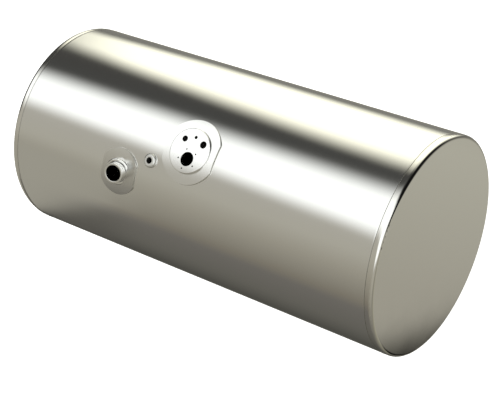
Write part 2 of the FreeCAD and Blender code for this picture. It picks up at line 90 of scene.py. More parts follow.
# %% Camera
SHELL_RADIUS = (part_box("barrel_shell")[1].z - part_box("barrel_shell")[0].z) / 2
CAMERA_PLACE = Vector((6.47242, -8.54066, 5.70495)) * SHELL_RADIUS
CAMERA_FORWARD = Vector((-0.52499, 0.70066, -0.48319))
FRAME_WIDTH = 500
FOCAL_PIXELS = 1292.985
SENSOR_WIDTH = 36.0

camera_data = bpy.data.cameras.new("camera")
camera_data.sensor_width = SENSOR_WIDTH
camera_data.lens = FOCAL_PIXELS / FRAME_WIDTH * SENSOR_WIDTH
camera = bpy.data.objects.new("camera", camera_data)
bpy.context.scene.collection.objects.link(camera)
upright = CAMERA_FORWARD.to_track_quat("-Z", "Y").to_matrix().to_4x4()
camera.matrix_world = studio @ Matrix.Translation(CAMERA_PLACE) @ upright
bpy.context.scene.camera = camera
print("camera at", tuple(round(v, 3) for v in camera.matrix_world.translation))
print("lens of", round(camera_data.lens, 1), "mm")

# %% [markdown]
# ## Two helpers for materials
#
# Colours are written as the hex values that a screen shows, and turned to linear light in one place.
# One function adds a shader node, sets its values and links its inputs, which keeps each material
# short enough to read at a glance.

# %% Helpers for colours and nodes
def linear(hex_colour):
    """Turn an sRGB colour such as "c8c4b8" into linear RGBA."""
    values = [int(hex_colour[i:i + 2], 16) / 255 for i in (0, 2, 4)]
    return [v / 12.92 if v <= 0.04045 else ((v + 0.055) / 1.055) ** 2.4 for v in values] + [1.0]


def add(tree, kind, settings=None, **inputs):
    """Add a node; an input is a value, or another node's output to link."""
    node = tree.nodes.new(kind)
    for name, value in (settings or {}).items():
        setattr(node, name, value)
    for name, value in inputs.items():
        key = int(name[1:]) if name[0] == "i" and name[1:].isdigit() else name.replace("_", " ")
        socket = node.inputs[key]
        if isinstance(value, bpy.types.NodeSocket):
            tree.links.new(value, socket)
        else:
            socket.default_value = value
    return node


MM = 0.001
print("white is", linear("ffffff"))

# %% [markdown]
# ## The studio, seen as one big reflection
#
# Bare metal has hardly a colour of its own: what the eye sees on it is the room. A long tank turns the
# room into stripes that run along it, so this studio is described by two numbers for each direction.
# The first is the angle round the tank's axis: zero is straight above the tank as the picture shows it,
# and it grows towards the camera. The second is how far the direction points along the tank, from -1 at
# its left end to 1 at its right end.
#
# Lamps could be placed one by one, but a small lamp gives a hard spot on metal. A product photographer
# uses long soft boxes for this reason, and a world made of boxes is free of noise as well.

# %% Two numbers for each direction
FULL_TURN = 360
RING_START = -150

world = bpy.data.worlds.new("studio")
bpy.context.scene.world = world
world.use_nodes = True
sky = world.node_tree
sky.nodes.clear()
direction = add(sky, "ShaderNodeTexCoord").outputs["Generated"]
rolled = add(sky, "ShaderNodeVectorRotate", {"rotation_type": "X_AXIS"}, Vector=direction, Angle=ROLL)
compass = add(sky, "ShaderNodeSeparateXYZ", Vector=rolled.outputs[0])
forward = add(sky, "ShaderNodeMath", {"operation": "MULTIPLY"}, i0=compass.outputs["Y"], i1=-1.0)
bearing = add(sky, "ShaderNodeMath", {"operation": "ARCTAN2"}, i0=forward.outputs[0],
              i1=compass.outputs["Z"])
turned = add(sky, "ShaderNodeMath", {"operation": "SUBTRACT"}, i0=bearing.outputs[0],
             i1=math.radians(RING_START))
turns = add(sky, "ShaderNodeMath", {"operation": "DIVIDE"}, i0=turned.outputs[0], i1=math.tau)
turn = add(sky, "ShaderNodeMath", {"operation": "FRACT"}, i0=turns.outputs[0]).outputs[0]
around = add(sky, "ShaderNodeMath", {"operation": "MULTIPLY_ADD"}, i0=turn, i1=FULL_TURN,
             i2=RING_START).outputs[0]
along = compass.outputs["X"]
print("angles round the tank run from", RING_START, "to", RING_START + FULL_TURN)

# %% [markdown]
# ### Walls of the room
#
# The room itself is a ring of warm greys: a lit back wall, black cloth overhead, and in front a wall
# that gets darker towards the floor. Beyond the tank's right end the room is darker overhead and
# lighter below, so there is a second ring, and the two are blended along the tank. Each ring is a
# colour ramp over the angle, which is far easier to tune than walls made of geometry.

# %% The rings of the room
LEFT_RING = [
    (-150, "45443f"), (-138, "56554f"), (-128, "94918a"), (-119, "a09e94"), (-109, "868479"),
    (-103, "7c7a73"), (-92, "777670"), (-60, "454542"), (-15, "403f3d"), (2, "41413f"),
    (20, "60605c"), (50, "a8a59c"), (66, "a6a39a"), (85, "a5a297"), (105, "959185"),
    (125, "837f74"), (135, "787368"), (145, "686560"), (175, "5f5d57"), (205, "4a4944"),
]
RIGHT_RING = [
    (-150, "9a978b"), (-126, "9e9b8f"), (-119, "adab9f"), (-109, "8a887e"), (-97, "55534e"),
    (-84, "242422"), (-60, "101010"), (15, "101010"), (45, "403f3c"), (75, "8c8981"),
    (104, "a5a297"), (120, "a19e92"), (145, "8e8b80"), (170, "7b786e"), (205, "93907f"),
]
RING_BLEND = (-0.10, 0.60)


def ring_colour(tree, stops):
    """Colour of a ring of walls at a ray's angle round the tank."""
    node = add(tree, "ShaderNodeValToRGB", Fac=turn)
    for count, (angle, colour) in enumerate(stops):
        place = (angle - RING_START) / FULL_TURN
        stops_made = node.color_ramp.elements
        stop = stops_made[count] if count < len(stops_made) else stops_made.new(place)
        stop.position = place
        stop.color = linear(colour)
    return node.outputs["Color"]


to_right = add(sky, "ShaderNodeMapRange", Value=along, From_Min=RING_BLEND[0], From_Max=RING_BLEND[1])
walls = add(sky, "ShaderNodeMix", {"data_type": "RGBA"}, i0=to_right.outputs[0],
            i6=ring_colour(sky, LEFT_RING), i7=ring_colour(sky, RIGHT_RING)).outputs[2]
print("the rings have", len(LEFT_RING), "and", len(RIGHT_RING), "stops")

# %% [markdown]
# ### Light boxes with soft edges
#
# A box is a mask: it is 1 inside its soft edges and 0 outside them. Each edge is a pair of numbers,
# its place and its softness, in degrees round the tank or in parts along it. A positive softness
# makes the mask rise there, a negative one makes it fall.
#
# An edge that is nearer to the tank at one end is seen at another angle there. So the place of an edge
# may run from one value to another along the tank, straight or bowed.

# %% Helpers for soft edges
def edge(tree, value, place, softness):
    """Mask that rises from 0 to 1 where the value passes a place; it falls if softness is negative."""
    past = add(tree, "ShaderNodeMath", {"operation": "SUBTRACT"}, i0=value, i1=place)
    return add(tree, "ShaderNodeMapRange", {"interpolation_type": "SMOOTHSTEP"}, Value=past.outputs[0],
               From_Min=-softness / 2, From_Max=softness / 2).outputs[0]


def course(tree, value, start, end, bow=1.0):
    """Place of an edge that runs between two (value, place) pairs, bowed where the power isn't 1."""
    part = add(tree, "ShaderNodeMapRange", Value=value, From_Min=start[0], From_Max=end[0])
    bowed = add(tree, "ShaderNodeMath", {"operation": "POWER"}, i0=part.outputs[0], i1=bow)
    return add(tree, "ShaderNodeMapRange", Value=bowed.outputs[0], To_Min=start[1],
               To_Max=end[1]).outputs[0]


def panel(tree, below, colour, edges, gain=1.0):
    """Lay a box or a cloth of one colour over what is below it, inside its edges."""
    mask = edges[0]
    for following in edges[1:]:
        mask = add(tree, "ShaderNodeMath", {"operation": "MULTIPLY"}, i0=mask, i1=following).outputs[0]
    shine = [gain * v for v in linear(colour)[:3]] + [1]
    return add(tree, "ShaderNodeMix", {"data_type": "RGBA"}, i0=mask, i6=below, i7=shine).outputs[2]


# %% [markdown]
# ### A board at the far left
#
# Low at its left end the tank mirrors a pale board that leans there, with a strip of its darker frame.
# A round mirror bows the board's straight side, and the place of that side is bowed in the same way.
# The frame is laid first and the board over it, as one would lay paper.

# %% The board and its frame
BOARD_FRAME = "54524d"
FRAME_TOP = (148, 14)
FRAME_RIGHT = (-0.60, -0.04)
BOARD = "98958a"
BOARD_TOP = (100, 20)
BOARD_RIGHT = ((135, -0.602), (210, -0.646), 0.55)
BOARD_SOFTNESS = -0.02

room = panel(sky, walls, BOARD_FRAME, [edge(sky, around, *FRAME_TOP), edge(sky, along, *FRAME_RIGHT)])
board_side = course(sky, around, *BOARD_RIGHT)
room = panel(sky, room, BOARD, [edge(sky, around, *BOARD_TOP),
                                edge(sky, along, board_side, BOARD_SOFTNESS)])
print("a board of", BOARD, "in a frame of", BOARD_FRAME)

# %% [markdown]
# ### A dark floor behind the tank
#
# The flat right end looks past the tank, at the floor behind it. The floor is darker than the wall
# above it, and the line between the two shows low on the end as a slanting shade. Adding some of the
# way along the tank to the angle slants the line.

# %% The dark floor behind
DARK_FLOOR = "1a1a18"
DARK_FLOOR_SLANT = 60.0
DARK_FLOOR_LINE = (-104.7, -2.4)
DARK_FLOOR_LEFT = (0.20, 0.10)
DARK_FLOOR_RIGHT = (0.46, -0.12)

slanted = add(sky, "ShaderNodeMath", {"operation": "MULTIPLY_ADD"}, i0=along, i1=DARK_FLOOR_SLANT,
              i2=around)
room = panel(sky, room, DARK_FLOOR, [
    edge(sky, slanted.outputs[0], *DARK_FLOOR_LINE),
    edge(sky, along, *DARK_FLOOR_LEFT),
    edge(sky, along, *DARK_FLOOR_RIGHT)])
print("a floor of", DARK_FLOOR, "up to", DARK_FLOOR_LINE[0], "degrees")

# %% [markdown]
# ### The two long boxes
#
# One box hangs overhead and behind the tank and ends just past its left end. Its light is a little
# warm, so the edge of its reflection turns cream before it turns dark. The other stands in front, is
# neutral, and widens to the right. The black cloth between them gives the tank its dark stripe.
#
# Both are brighter than white, as real lamps are, so their middles stay plain white on the metal
# and only their soft edges show grey.

# %% The overhead box and the front box
OVERHEAD = "fffdea"
OVERHEAD_GAIN = 1.29
OVERHEAD_BACK = ((-0.57, -81.5), (-0.67, -71))
OVERHEAD_BACK_SOFTNESS = 22
OVERHEAD_FRONT = ((-0.44, -15.5), (-0.665, -34.5), 1.8)
OVERHEAD_FRONT_SOFTNESS = -28
OVERHEAD_LEFT = (-0.664, 0.10)
OVERHEAD_RIGHT = (0.285, -0.53)

FRONT = "fdfffd"
FRONT_GAIN = 1.12
FRONT_TOP = ((-0.67, 16.0), (0.6, 27))
FRONT_TOP_SOFTNESS = 25
FRONT_BOTTOM = ((-0.67, 52.3), (0.3, 92))
FRONT_BOTTOM_SOFTNESS = -20
FRONT_LEFT = (-0.80, 0.16)
FRONT_RIGHT = (0.85, -0.2)

room = panel(sky, room, OVERHEAD, [
    edge(sky, around, course(sky, along, *OVERHEAD_BACK), OVERHEAD_BACK_SOFTNESS),
    edge(sky, around, course(sky, along, *OVERHEAD_FRONT), OVERHEAD_FRONT_SOFTNESS),
    edge(sky, along, *OVERHEAD_LEFT),
    edge(sky, along, *OVERHEAD_RIGHT)], OVERHEAD_GAIN)
room = panel(sky, room, FRONT, [
    edge(sky, around, course(sky, along, *FRONT_TOP), FRONT_TOP_SOFTNESS),
    edge(sky, around, course(sky, along, *FRONT_BOTTOM), FRONT_BOTTOM_SOFTNESS),
    edge(sky, along, *FRONT_LEFT),
    edge(sky, along, *FRONT_RIGHT)], FRONT_GAIN)
print("two boxes,", OVERHEAD_GAIN, "and", FRONT_GAIN, "times as bright as white")

# %% [markdown]
# ### A dark cloth past the left end
#
# A cloth hangs past the left end, from above down to the board. From the camera the wall never
# mirrors it, because it hangs too far along. The rims that face left do, and it gives them their
# dark side.

# %% The dark cloth
LEFT_CLOTH = "20201e"
CLOTH_RIGHT = (-0.77, -0.10)
CLOTH_BOTTOM = (75, -20)

room = panel(sky, room, LEFT_CLOTH, [edge(sky, along, *CLOTH_RIGHT), edge(sky, around, *CLOTH_BOTTOM)])
print("a cloth of", LEFT_CLOTH, "down to", CLOTH_BOTTOM[0], "degrees")

# %% [markdown]
# ### Backdrop
#
# The picture's background is plain white, which a lit paper behind the tank would give. It would have
# to be in the room, and the metal would mirror it. So the room is kept for the reflections, and rays
# straight from the camera see white instead.

# %% The world
STUDIO_STRENGTH = 1.12
BACKDROP_STRENGTH = 1.05

studio_light = add(sky, "ShaderNodeBackground", Color=room, Strength=STUDIO_STRENGTH)
backdrop = add(sky, "ShaderNodeBackground", Color=linear("ffffff"), Strength=BACKDROP_STRENGTH)
straight = add(sky, "ShaderNodeLightPath").outputs["Is Camera Ray"]
seen = add(sky, "ShaderNodeMixShader", i0=straight, i1=studio_light.outputs[0], i2=backdrop.outputs[0])
add(sky, "ShaderNodeOutputWorld", Surface=seen.outputs[0])
bpy.context.scene.view_settings.view_transform = "Standard"
print("the world has", len(sky.nodes), "nodes")

# %% [markdown]
# ## Floor
#
# A plain white sheet lies under the tank. It glows a little, as a lit table does, so that it shows
# white with hardly a shadow. It is kept out of the metal's reflections: the studio's rings already
# say what the lower half of the tank sees.

# %% Floor
FLOOR_SIZE = 30.0
FLOOR_GLOW = 0.93

floor_mesh = bpy.data.meshes.new("floor")
floor_shape = bmesh.new()
bmesh.ops.create_grid(floor_shape, x_segments=1, y_segments=1, size=FLOOR_SIZE / 2)
floor_shape.to_mesh(floor_mesh)
floor_shape.free()
floor = bpy.data.objects.new("floor", floor_mesh)
floor.location.z = cad_low.z
floor.visible_glossy = False
bpy.context.scene.collection.objects.link(floor)

paper = bpy.data.materials.new("lit_white_paper")
paper.use_nodes = True
paper_shader = paper.node_tree.nodes["Principled BSDF"]
paper_shader.inputs["Base Color"].default_value = linear("f4f4f2")
paper_shader.inputs["Roughness"].default_value = 0.9
paper_shader.inputs["Emission Color"].default_value = linear("ffffff")
paper_shader.inputs["Emission Strength"].default_value = FLOOR_GLOW
floor_mesh.materials.append(paper)
print("floor at", round(floor.location.z, 4), "m")

# %% [markdown]
# ## Metal, to begin with
#
# Nearly every piece is aluminium, so one function starts each finish: a metal with its own pale colour.
# What tells one finish from another is how its surface was made, and that is a pattern of fine marks
# that drives the roughness and the bumps. The size of each pattern is a real size in millimetres on
# the piece, and where the real marks are too fine to show, a comment says so.

# %% A bare metal surface
def start_metal(name, colour):
    """New material with a metal shader; returns it with its tree, its shader and the place on a piece."""
    material = bpy.data.materials.new(name)
    material.use_nodes = True
    tree = material.node_tree
    shader = tree.nodes["Principled BSDF"]
    shader.inputs["Base Color"].default_value = linear(colour)
    shader.inputs["Metallic"].default_value = 1.0
    place = add(tree, "ShaderNodeTexCoord").outputs["Object"]
    return material, tree, shader, place


def roughen(tree, shader, pattern, low, high):
    """Let a pattern between 0 and 1 drive the roughness between two values."""
    spread = add(tree, "ShaderNodeMapRange", Value=pattern, To_Min=low, To_Max=high)
    tree.links.new(spread.outputs[0], shader.inputs["Roughness"])


def engrave(tree, shader, height, depth):
    """Turn heights into bumps that are as deep in metres as said; a second call adds to the first."""
    bump = add(tree, "ShaderNodeBump", {"invert": depth < 0}, Strength=1.0, Distance=abs(depth),
               Height=height)
    for earlier in shader.inputs["Normal"].links:
        tree.links.new(earlier.from_socket, bump.inputs["Normal"])
    tree.links.new(bump.outputs[0], shader.inputs["Normal"])


def dress(material, *names):
    """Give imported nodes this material."""
    for name in names:
        nodes[name].material_slots[0].material = material
    print(material.name, "on", ", ".join(names))


# %% [markdown]
# ### Two helpers for the round skin
#
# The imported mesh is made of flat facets, and its shading is blended between their corners. At the rims
# of the openings a few corners lean by a degree or two, and a mirror shows that as a kink in a stripe.
# So the skin of a round piece is shaded with the true direction away from the tank's axis.
#
# Welding draws the metal in, so the skin sinks a little beside a weld. That is a few tenths of a
# millimetre at most, but the bent reflection is what makes the eye see a weld at all.

# %% Helpers for the round skin
SKIN_TOLERANCE = math.radians(8)


def keep_round(tree, shader, place):
    """Shade the skin as a true cylinder, where the mesh's own direction is within a few degrees."""
    parts = add(tree, "ShaderNodeSeparateXYZ", Vector=place)
    radial = add(tree, "ShaderNodeCombineXYZ", Y=parts.outputs["Y"], Z=parts.outputs["Z"])
    outward = add(tree, "ShaderNodeVectorMath", {"operation": "NORMALIZE"}, i0=radial.outputs[0])
    meshed = add(tree, "ShaderNodeTexCoord").outputs["Normal"]
    likeness = add(tree, "ShaderNodeVectorMath", {"operation": "DOT_PRODUCT"}, i0=outward.outputs[0],
                   i1=meshed)
    on_skin = add(tree, "ShaderNodeMath", {"operation": "GREATER_THAN"}, i0=likeness.outputs["Value"],
                  i1=math.cos(SKIN_TOLERANCE))
    chosen = add(tree, "ShaderNodeMix", {"data_type": "VECTOR"}, i0=on_skin.outputs[0], i4=meshed,
                 i5=outward.outputs[0])
    tree.links.new(chosen.outputs[1], shader.inputs["Normal"])


def sink(tree, shader, place, start, end, depth):
    """Let the surface sink by a depth between two distances from mid-length, softly."""
    distance = add(tree, "ShaderNodeMath", {"operation": "ABSOLUTE"},
                   i0=add(tree, "ShaderNodeSeparateXYZ", Vector=place).outputs["X"])
    slope = add(tree, "ShaderNodeMapRange", {"interpolation_type": "SMOOTHSTEP"},
                Value=distance.outputs[0], From_Min=start, From_Max=end)
    engrave(tree, shader, slope.outputs[0], depth)


WALL_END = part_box("barrel_shell")[1].x
print("the wall ends", round(WALL_END / MM, 1), "mm from mid-length")

# %% [markdown]
# ### Rolled wall
#
# The wall is bright mill-finish sheet, bent into a cylinder. The rolls of the mill leave fine lines
# along the sheet, which run round the tank once it is bent, and the sheet isn't perfectly true: it
# has shallow waves a hand's breadth long that make the edges of the reflections wander a little.
# To the eye it is nearly a mirror, with a faint bloom across the stripes.
#
# The pattern is drawn in the unrolled sheet's own two directions: along the tank, and the length of
# the arc. The real lines are a few hundredths of a millimetre apart; they are drawn coarser, or
# nothing of them would show.

# %% Mill-finish sheet, rolled
GRAIN_PITCH = 1.2 * MM
GRAIN_LENGTH = 90 * GRAIN_PITCH
GRAIN_DEPTH = 0.001 * MM
WAVE_LENGTH = 160 * MM
WAVE_DEPTH = 0.35 * MM
WALL_SINK = (4.0 * MM, 0.12 * MM)

mill_sheet, tree, shader, place = start_metal("mill_finish_sheet", "f3f3f1")
across = add(tree, "ShaderNodeSeparateXYZ", Vector=place)
inboard = add(tree, "ShaderNodeMath", {"operation": "MULTIPLY"}, i0=across.outputs["Y"], i1=-1.0)
angle = add(tree, "ShaderNodeMath", {"operation": "ARCTAN2"}, i0=across.outputs["Z"],
            i1=inboard.outputs[0])
unrolled = add(tree, "ShaderNodeMath", {"operation": "MULTIPLY"}, i0=angle.outputs[0], i1=SHELL_RADIUS)
sheet = add(tree, "ShaderNodeCombineXYZ", X=across.outputs["X"], Y=unrolled.outputs[0])
stretch = add(tree, "ShaderNodeVectorMath", {"operation": "MULTIPLY"}, i0=sheet.outputs[0],
              i1=(1 / GRAIN_PITCH, 1 / GRAIN_LENGTH, 0))
grain = add(tree, "ShaderNodeTexNoise", Vector=stretch.outputs[0], Scale=1.0, Detail=3.0)
waves = add(tree, "ShaderNodeTexNoise", Vector=place, Scale=1 / WAVE_LENGTH, Detail=1.0)
keep_round(tree, shader, place)
engrave(tree, shader, waves.outputs[0], WAVE_DEPTH)
engrave(tree, shader, grain.outputs[0], GRAIN_DEPTH)
sink(tree, shader, place, WALL_END - WALL_SINK[0], WALL_END, -WALL_SINK[1])
roughen(tree, shader, grain.outputs[0], 0.09, 0.14)
dress(mill_sheet, "barrel_shell")

# %% [markdown]
# ### Pressed ends
#
# Each end is one disc, pressed and then turned at its rim. The pressing stretches the skin and leaves
# it slightly uneven, so the flat end shows the room as a smooth shade with soft clouds in it. Its band
# sinks towards the weld as well, which shows as a soft line beside it.

# %% Pressed sheet
CLOUD_SIZE = 45 * MM
PRESS_WAVE = 240 * MM
PRESS_DEPTH = 0.15 * MM
HEAD_SINK = (9.0 * MM, 0.30 * MM)

pressed, tree, shader, place = start_metal("pressed_aluminium", "f2f1ed")
cloud = add(tree, "ShaderNodeTexNoise", Vector=place, Scale=1 / CLOUD_SIZE, Detail=4.0)
swell = add(tree, "ShaderNodeTexNoise", Vector=place, Scale=1 / PRESS_WAVE)
roughen(tree, shader, cloud.outputs[0], 0.05, 0.09)
engrave(tree, shader, swell.outputs[0], PRESS_DEPTH)
sink(tree, shader, place, WALL_END, WALL_END + HEAD_SINK[0], HEAD_SINK[1])
dress(pressed, "right_head", "left_head")

# %% [markdown]
# ### Doubler plates
#
# Two plates stiffen the wall round the openings. They are cut from the same sheet and curved in a
# press to follow the wall. Yet in the picture they mirror another part of the room than the wall
# beside them, which keeps them from melting into its stripes. A bump does that here: its height is a
# square of the way across the sheet, and it bends the shading but leaves the mesh alone.
#
# The bump was fitted and isn't a measured form. It shades the large plate 30 percent flatter
# than the wall, which tilts it by up to 6 degrees, and it tilts the small one by 6 to 24 degrees. As
# real forms that would be 5 mm and more than 20 mm, so no real plate lies like this: what makes the
# difference on the real tank isn't known.

# %% The plates' common finish
HAZE_SIZE = 20 * MM
HAZE = 0.03


def plate_metal(name, roughness):
    """Start the finish of a doubler plate; returns it with its tree, shader and split place."""
    material, tree, shader, place = start_metal(name, "f4f4f2")
    keep_round(tree, shader, place)
    haze = add(tree, "ShaderNodeTexNoise", Vector=place, Scale=1 / HAZE_SIZE, Detail=3.0)
    roughen(tree, shader, haze.outputs[0], roughness - HAZE, roughness + HAZE)
    return material, tree, shader, add(tree, "ShaderNodeSeparateXYZ", Vector=place)


# %% Pressed sender plate
SENDER_FLATTENING = 0.30
SENDER_SHIFT = 15 * MM

sender_plate, tree, shader, across = plate_metal("pressed_sender_plate", 0.15)
shifted = add(tree, "ShaderNodeMath", {"operation": "ADD"}, i0=across.outputs["Y"], i1=SENDER_SHIFT)
square = add(tree, "ShaderNodeMath", {"operation": "POWER"}, i0=shifted.outputs[0], i1=2.0)
engrave(tree, shader, square.outputs[0], SENDER_FLATTENING / (2 * SHELL_RADIUS))
dress(sender_plate, "sender_saddle")

# %% Pressed filler plate
FILLER_ANGLE = math.radians(22)
FILLER_SLOPE = 0.27
FILLER_BEND = 1.3

filler_plate, tree, shader, across = plate_metal("pressed_filler_plate", 0.31)
outboard = add(tree, "ShaderNodeMath", {"operation": "MULTIPLY"}, i0=across.outputs["Y"], i1=-1.0)
angle = add(tree, "ShaderNodeMath", {"operation": "ARCTAN2"}, i0=outboard.outputs[0],
            i1=across.outputs["Z"])
arc = add(tree, "ShaderNodeMath", {"operation": "MULTIPLY_ADD"}, i0=angle.outputs[0], i1=SHELL_RADIUS,
          i2=-SHELL_RADIUS * FILLER_ANGLE)
slope = add(tree, "ShaderNodeMath", {"operation": "MULTIPLY_ADD"}, i0=arc.outputs[0], i1=FILLER_BEND,
            i2=FILLER_SLOPE)
drop = add(tree, "ShaderNodeMath", {"operation": "MULTIPLY"}, i0=arc.outputs[0], i1=slope.outputs[0])
engrave(tree, shader, drop.outputs[0], -1.0)
dress(filler_plate, "filler_saddle")

# %% [markdown]
# ### Faced flange
#
# The flange is faced on a lathe. The tool leaves fine rings, far finer than the picture can show, and
# with them a faint satin. The rings are worked out from the distance to the flange's middle, one
# ridge for each turn of the lathe.
#
# The lowest part of its face mirrors less of the light than the rest. A bump bends the shading of the
# outboard half for that, by up to 8 degrees at the rim. It was fitted, and the mesh stays flat.

# %% Faced aluminium
TURNING_PITCH = 0.35 * MM
TURNING_DEPTH = 0.001 * MM
FLANGE_DROP = 1.2
flange_low, flange_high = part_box("sender_flange")
flange_middle = (flange_low + flange_high) / 2

faced, tree, shader, place = start_metal("faced_aluminium", "f6f6f5")
centred = add(tree, "ShaderNodeVectorMath", {"operation": "SUBTRACT"}, i0=place, i1=flange_middle)
flat = add(tree, "ShaderNodeVectorMath", {"operation": "MULTIPLY"}, i0=centred.outputs[0],
           i1=(1, 1, 0))
reach = add(tree, "ShaderNodeVectorMath", {"operation": "LENGTH"}, i0=flat.outputs[0])
rings = add(tree, "ShaderNodeMath", {"operation": "DIVIDE"}, i0=reach.outputs["Value"],
            i1=TURNING_PITCH)
tool_marks = add(tree, "ShaderNodeMath", {"operation": "PINGPONG"}, i0=rings.outputs[0], i1=1.0)
across = add(tree, "ShaderNodeSeparateXYZ", Vector=centred.outputs[0])
outer_half = add(tree, "ShaderNodeMath", {"operation": "MINIMUM"}, i0=across.outputs["Y"], i1=0.0)
square = add(tree, "ShaderNodeMath", {"operation": "POWER"}, i0=outer_half.outputs[0], i1=2.0)
engrave(tree, shader, square.outputs[0], -FLANGE_DROP)
engrave(tree, shader, tool_marks.outputs[0], TURNING_DEPTH)
roughen(tree, shader, tool_marks.outputs[0], 0.10, 0.14)
dress(faced, "sender_flange")

# %% [markdown]
# ### Turned collar and neck
#
# The collar and the neck come off a lathe as well, but they are handled and polished round, so their
# satin is softer and has no direction. The neck's bore is painted near black, a painted shade for the
# deep inside of the neck. A bright bore would carry glints of the room down into the mouth, which show
# as grey specks in what should be a plain black hole. The bore is told from the outside by its
# distance from the neck's axis.

# %% Turned aluminium
SATIN_SIZE = 4 * MM
TURNED_COLOUR = "f4f4f2"
# Painted shade: this near-black colour stands in for the shade inside the deep bore.
BORE_SHADE = "32312e"
BORE_SKIN = 0.3 * MM
neck = mounts["filler_neck"]
bore_reach = neck["dims"]["r_mm"] * MM + BORE_SKIN


def turned_metal(name):
    """Start the finish of a turned and polished piece; returns it with its tree, shader and place."""
    material, tree, shader, place = start_metal(name, TURNED_COLOUR)
    satin = add(tree, "ShaderNodeTexNoise", Vector=place, Scale=1 / SATIN_SIZE, Detail=2.0)
    roughen(tree, shader, satin.outputs[0], 0.17, 0.24)
    return material, tree, shader, place


collar_metal, tree, shader, place = turned_metal("turned_aluminium")
dress(collar_metal, "filler_collar")

neck_metal, tree, shader, place = turned_metal("turned_neck")
offset = add(tree, "ShaderNodeVectorMath", {"operation": "SUBTRACT"}, i0=place, i1=neck["pos_m"])
moment = add(tree, "ShaderNodeVectorMath", {"operation": "CROSS_PRODUCT"}, i0=offset.outputs[0],
             i1=neck["axis"])
from_axis = add(tree, "ShaderNodeVectorMath", {"operation": "LENGTH"}, i0=moment.outputs[0])
in_bore = add(tree, "ShaderNodeMath", {"operation": "LESS_THAN"}, i0=from_axis.outputs["Value"],
              i1=bore_reach)
# The bore is painted with that shade, and the rest of the neck keeps the metal's own colour.
bore_shaded = add(tree, "ShaderNodeMix", {"data_type": "RGBA"}, i0=in_bore.outputs[0],
              i6=linear(TURNED_COLOUR), i7=linear(BORE_SHADE))
tree.links.new(bore_shaded.outputs[2], shader.inputs["Base Color"])
dress(neck_metal, "filler_neck")

# %% [markdown]
# ### Blasted spuds
#
# The two spuds are small bosses for threads. Before they are welded in, they are blasted with fine
# grit, which leaves pits and a matt skin: it takes the light of half the room at once and looks
# evenly pale. The pits are a few hundredths of a millimetre wide and are drawn coarser.

# %% Blasted aluminium
PIT_SIZE = 0.8 * MM

blasted, tree, shader, place = start_metal("blasted_aluminium", "eeeeec")
pits = add(tree, "ShaderNodeTexNoise", Vector=place, Scale=1 / PIT_SIZE, Detail=2.0)
roughen(tree, shader, pits.outputs[0], 0.36, 0.45)
dress(blasted, "vent_spud", "drain_spud")

# %% [markdown]
# ### Inside pieces and the plug
#
# The pipes are drawn tube, with fine lines along them from the die. The baffles and the brace are
# plain sheet that nobody polishes, blotchy and dull. The drain plug is zinc-plated steel: darker and
# bluer than the aluminium round it, with small spangles.

# %% Drawn tube
DRAW_LINE = (0.8 * MM, 80 * MM)

drawn, tree, shader, place = start_metal("drawn_tube", "e6e6e4")
lines = add(tree, "ShaderNodeVectorMath", {"operation": "MULTIPLY"}, i0=place,
            i1=(1 / DRAW_LINE[0], 1 / DRAW_LINE[0], 1 / DRAW_LINE[1]))
drawing = add(tree, "ShaderNodeTexNoise", Vector=lines.outputs[0], Scale=1.0)
roughen(tree, shader, drawing.outputs[0], 0.25, 0.36)
dress(drawn, "supply_tube", "return_tube")

# %% Plain sheet and zinc plating
BLOTCH_SIZE = 30 * MM
SPANGLE_SIZE = 1.2 * MM

plain_sheet, tree, shader, place = start_metal("plain_sheet", "e2e2df")
blotches = add(tree, "ShaderNodeTexNoise", Vector=place, Scale=1 / BLOTCH_SIZE, Detail=3.0)
roughen(tree, shader, blotches.outputs[0], 0.28, 0.42)
dress(plain_sheet, "left_baffle", "left_baffle_rim", "right_baffle", "right_baffle_rim", "tube_brace")

zinc, tree, shader, place = start_metal("zinc_plating", "c3c6c8")
spangle = add(tree, "ShaderNodeTexVoronoi", Vector=place, Scale=1 / SPANGLE_SIZE)
roughen(tree, shader, spangle.outputs["Distance"], 0.25, 0.42)
dress(zinc, "drain_plug")

# %% [markdown]
# ## Welds, cut edges and threads
#
# The solid model stops at plain bores and small clearances. A maker sees more: beads where pieces are
# joined, the dull edge that a cutter leaves on a plate, and threads in the ports. They are modelled as
# meshes, because a bead that stands out half a millimetre breaks a mirror's reflection for real.
#
# Most of them are one outline carried along a path. Blender's curves with a bevel can do that too, but
# these outlines change from step to step, so one helper joins a row of outlines to a solid.

# %% Helpers for pieces
def joined(outlines, closed):
    """Vertices and faces of a row of equal outlines; a closed row meets its own start."""
    size = len(outlines[0])
    faces = []
    for step in range(len(outlines) if closed else len(outlines) - 1):
        near = step * size
        far = (step + 1) % len(outlines) * size
        for side in range(size):
            following = (side + 1) % size
            faces.append((near + side, near + following, far + following, far + side))
    if not closed:
        faces.append(tuple(range(size)))
        faces.append(tuple(range((len(outlines) - 1) * size, len(outlines) * size)))
    return [point for outline in outlines for point in outline], faces


def make_piece(name, vertices, faces, material, record_slot):
    """Build a mesh with a finish that rides with the tank."""
    shape = bmesh.new()
    corners = [shape.verts.new(vertex) for vertex in vertices]
    for face in faces:
        shape.faces.new([corners[count] for count in face]).smooth = True
    bmesh.ops.recalc_face_normals(shape, faces=shape.faces)
    mesh = bpy.data.meshes.new(name)
    shape.to_mesh(mesh)
    shape.free()
    mesh.materials.append(material)
    piece = bpy.data.objects.new(name, mesh)
    bpy.context.scene.collection.objects.link(piece)
    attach(piece, "root")
    print(name, "has", len(mesh.polygons), "faces")


def on_wall(x, angle, height):
    """Point at a height above the wall; the angle starts at the top and grows outboard."""
    reach = SHELL_RADIUS + height
    return Vector((x, -reach * math.sin(angle), reach * math.cos(angle)))


# %% [markdown]
# ### Beads
#
# The wall is one sheet, so it has a seam along its whole length. It is kept on the inboard side, where
# nobody sees it. Each end is welded on all round, and that bead is ground nearly flush, which leaves
# only a thin dull line. A weld is laid drop by drop, so a bead's height rises and falls with each drop,
# and no two drops are equally tall.

# %% Weld metal
SMUT_SIZE = 6 * MM

